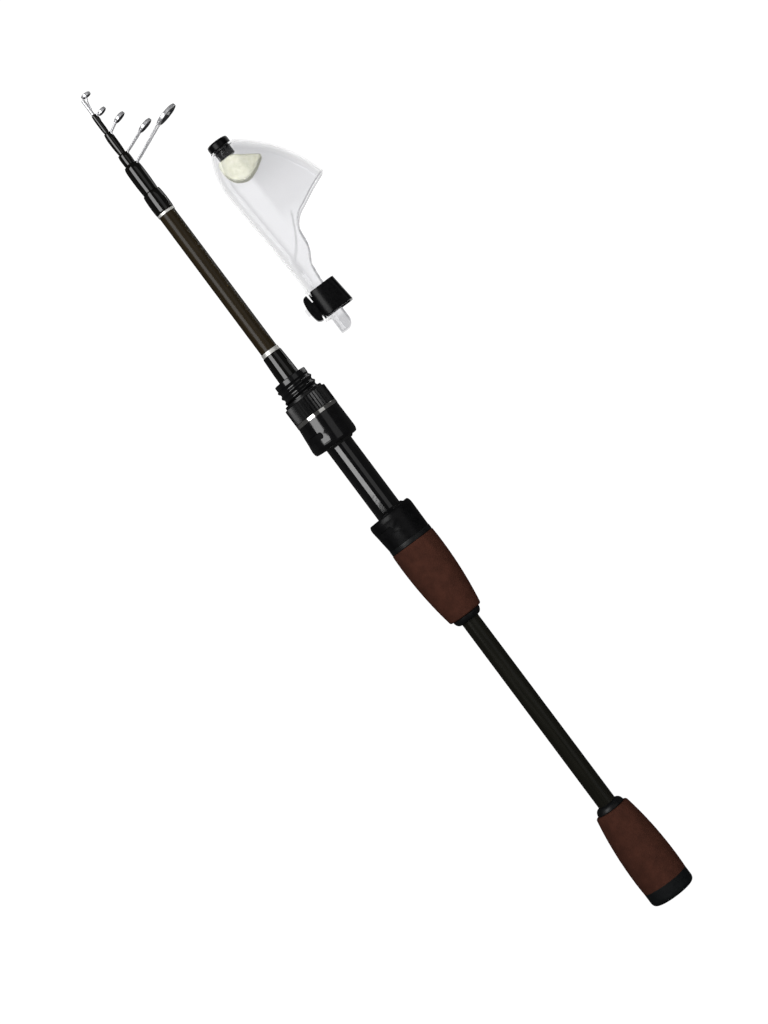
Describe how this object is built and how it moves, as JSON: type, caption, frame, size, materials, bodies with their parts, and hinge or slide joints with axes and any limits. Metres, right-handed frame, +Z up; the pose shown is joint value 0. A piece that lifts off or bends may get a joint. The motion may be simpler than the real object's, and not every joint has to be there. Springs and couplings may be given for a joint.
{
  "type": "telescopic fishing rod",
  "caption": "Telescopic spinning rod, pushed together: drawn-out tube sections with line guides, foam grips, screw-down reel seat and butt cap, and a clear tip cover beside it.",
  "frame": {"origin": "centre of the butt cap's end face, on the rod's axis", "axes": "+X along the rod towards the tip, +Z up from the surface that it lies on, line guides and tip cover on the -Y side, reel foot on the +Y side"},
  "size_m": [0.5602, 0.1004, 0.0286],
  "materials": {
    "blank": "satin lacquer over carbon",
    "inner_plastic": "moulded",
    "arbor": "bare",
    "eva": "sanded foam",
    "trim": "satin",
    "seat_tube": "clear lacquer over carbon",
    "hood": "satin gloss",
    "liner": "moulded",
    "nut": "gloss",
    "bright_ring": "polished",
    "winding": "thick clear lacquer",
    "band": "polished",
    "cushion": "moulded",
    "butt_cap": "satin",
    "wire": "polished",
    "lining": "polished ceramic",
    "clear": "clear",
    "cover_rubber": "moulded",
    "foam": "cut foam"
  },
  "bodies": {
    "handle": {"main_blank": "blank", "butt_insert": "inner_plastic", "rear_grip": "eva", "rear_check": "trim", "fore_check": "trim", "fore_grip": "eva", "trim_ring": "trim", "seat_tube": "seat_tube", "seat_arbors": "arbor", "fixed_hood": "hood", "thread_sleeve": "nut", "sleeve_collar": "nut", "front_winding": "winding", "front_band": "band", "tip_band": "band", "tip_winding": "winding"},
    "cushion": {"butt_cushion": "cushion"},
    "butt": {"butt_cap": "butt_cap", "butt_plug": "inner_plastic"},
    "hood": {"sliding_hood": "hood", "hood_liner": "liner"},
    "nut": {"hood_nut": "nut", "nut_ring": "bright_ring"},
    "second": {"section_2": "blank", "collar_2": "winding", "guide_frame_2": "wire", "guide_lining_2": "lining"},
    "third": {"section_3": "blank", "collar_3": "winding", "guide_frame_3": "wire", "guide_lining_3": "lining"},
    "fourth": {"section_4": "blank", "collar_4": "winding", "guide_frame_4": "wire", "guide_lining_4": "lining"},
    "fifth": {"section_5": "blank", "collar_5": "winding", "guide_frame_5": "wire", "guide_lining_5": "lining"},
    "tip": {"tip_rod": "blank", "tip_tube": "wire", "tip_frame": "wire", "tip_lining": "lining"},
    "cover": {"cover_shell": "clear", "cover_plug": "cover_rubber", "cover_pad": "foam", "cover_strap": "cover_rubber"}
  },
  "joints": [
    {"name": "second_slide", "type": "slide", "parent": "handle", "child": "second", "axis": [1, 0, 0], "range_m": [0, 0.401]},
    {"name": "third_slide", "type": "slide", "parent": "second", "child": "third", "axis": [1, 0, 0], "range_m": [0, 0.42]},
    {"name": "fourth_slide", "type": "slide", "parent": "third", "child": "fourth", "axis": [1, 0, 0], "range_m": [0, 0.428]},
    {"name": "fifth_slide", "type": "slide", "parent": "fourth", "child": "fifth", "axis": [1, 0, 0], "range_m": [0, 0.442]},
    {"name": "tip_slide", "type": "slide", "parent": "fifth", "child": "tip", "axis": [1, 0, 0], "range_m": [0, 0.455]},
    {"name": "hood_slide", "type": "slide", "parent": "handle", "child": "hood", "axis": [1, 0, 0], "range_m": [-0.00822, 0.00366]},
    {"name": "nut_spin", "type": "hinge", "parent": "hood", "child": "nut", "pos_m": [0.344, 0, 0], "axis": [1, 0, 0], "range_deg": [-810, 360]},
    {"name": "cushion_slide", "type": "slide", "parent": "handle", "child": "cushion", "axis": [-1, 0, 0], "range_m": [0, 0.00901]},
    {"name": "cap_spin", "type": "hinge", "parent": "cushion", "child": "butt", "pos_m": [0.006, 0, 0], "axis": [-1, 0, 0], "range_deg": [0, 2160]},
    {"name": "cover_slide", "type": "slide", "parent": "handle", "child": "cover", "axis": [-1, 0, 0], "range_m": [0, 0.2]}
  ],
  "couplings": [
    {"joint": "hood_slide", "follows": "nut_spin", "m_per_rad": 0.00058092},
    {"joint": "cushion_slide", "follows": "cap_spin", "m_per_rad": 0.00023873}
  ]
}
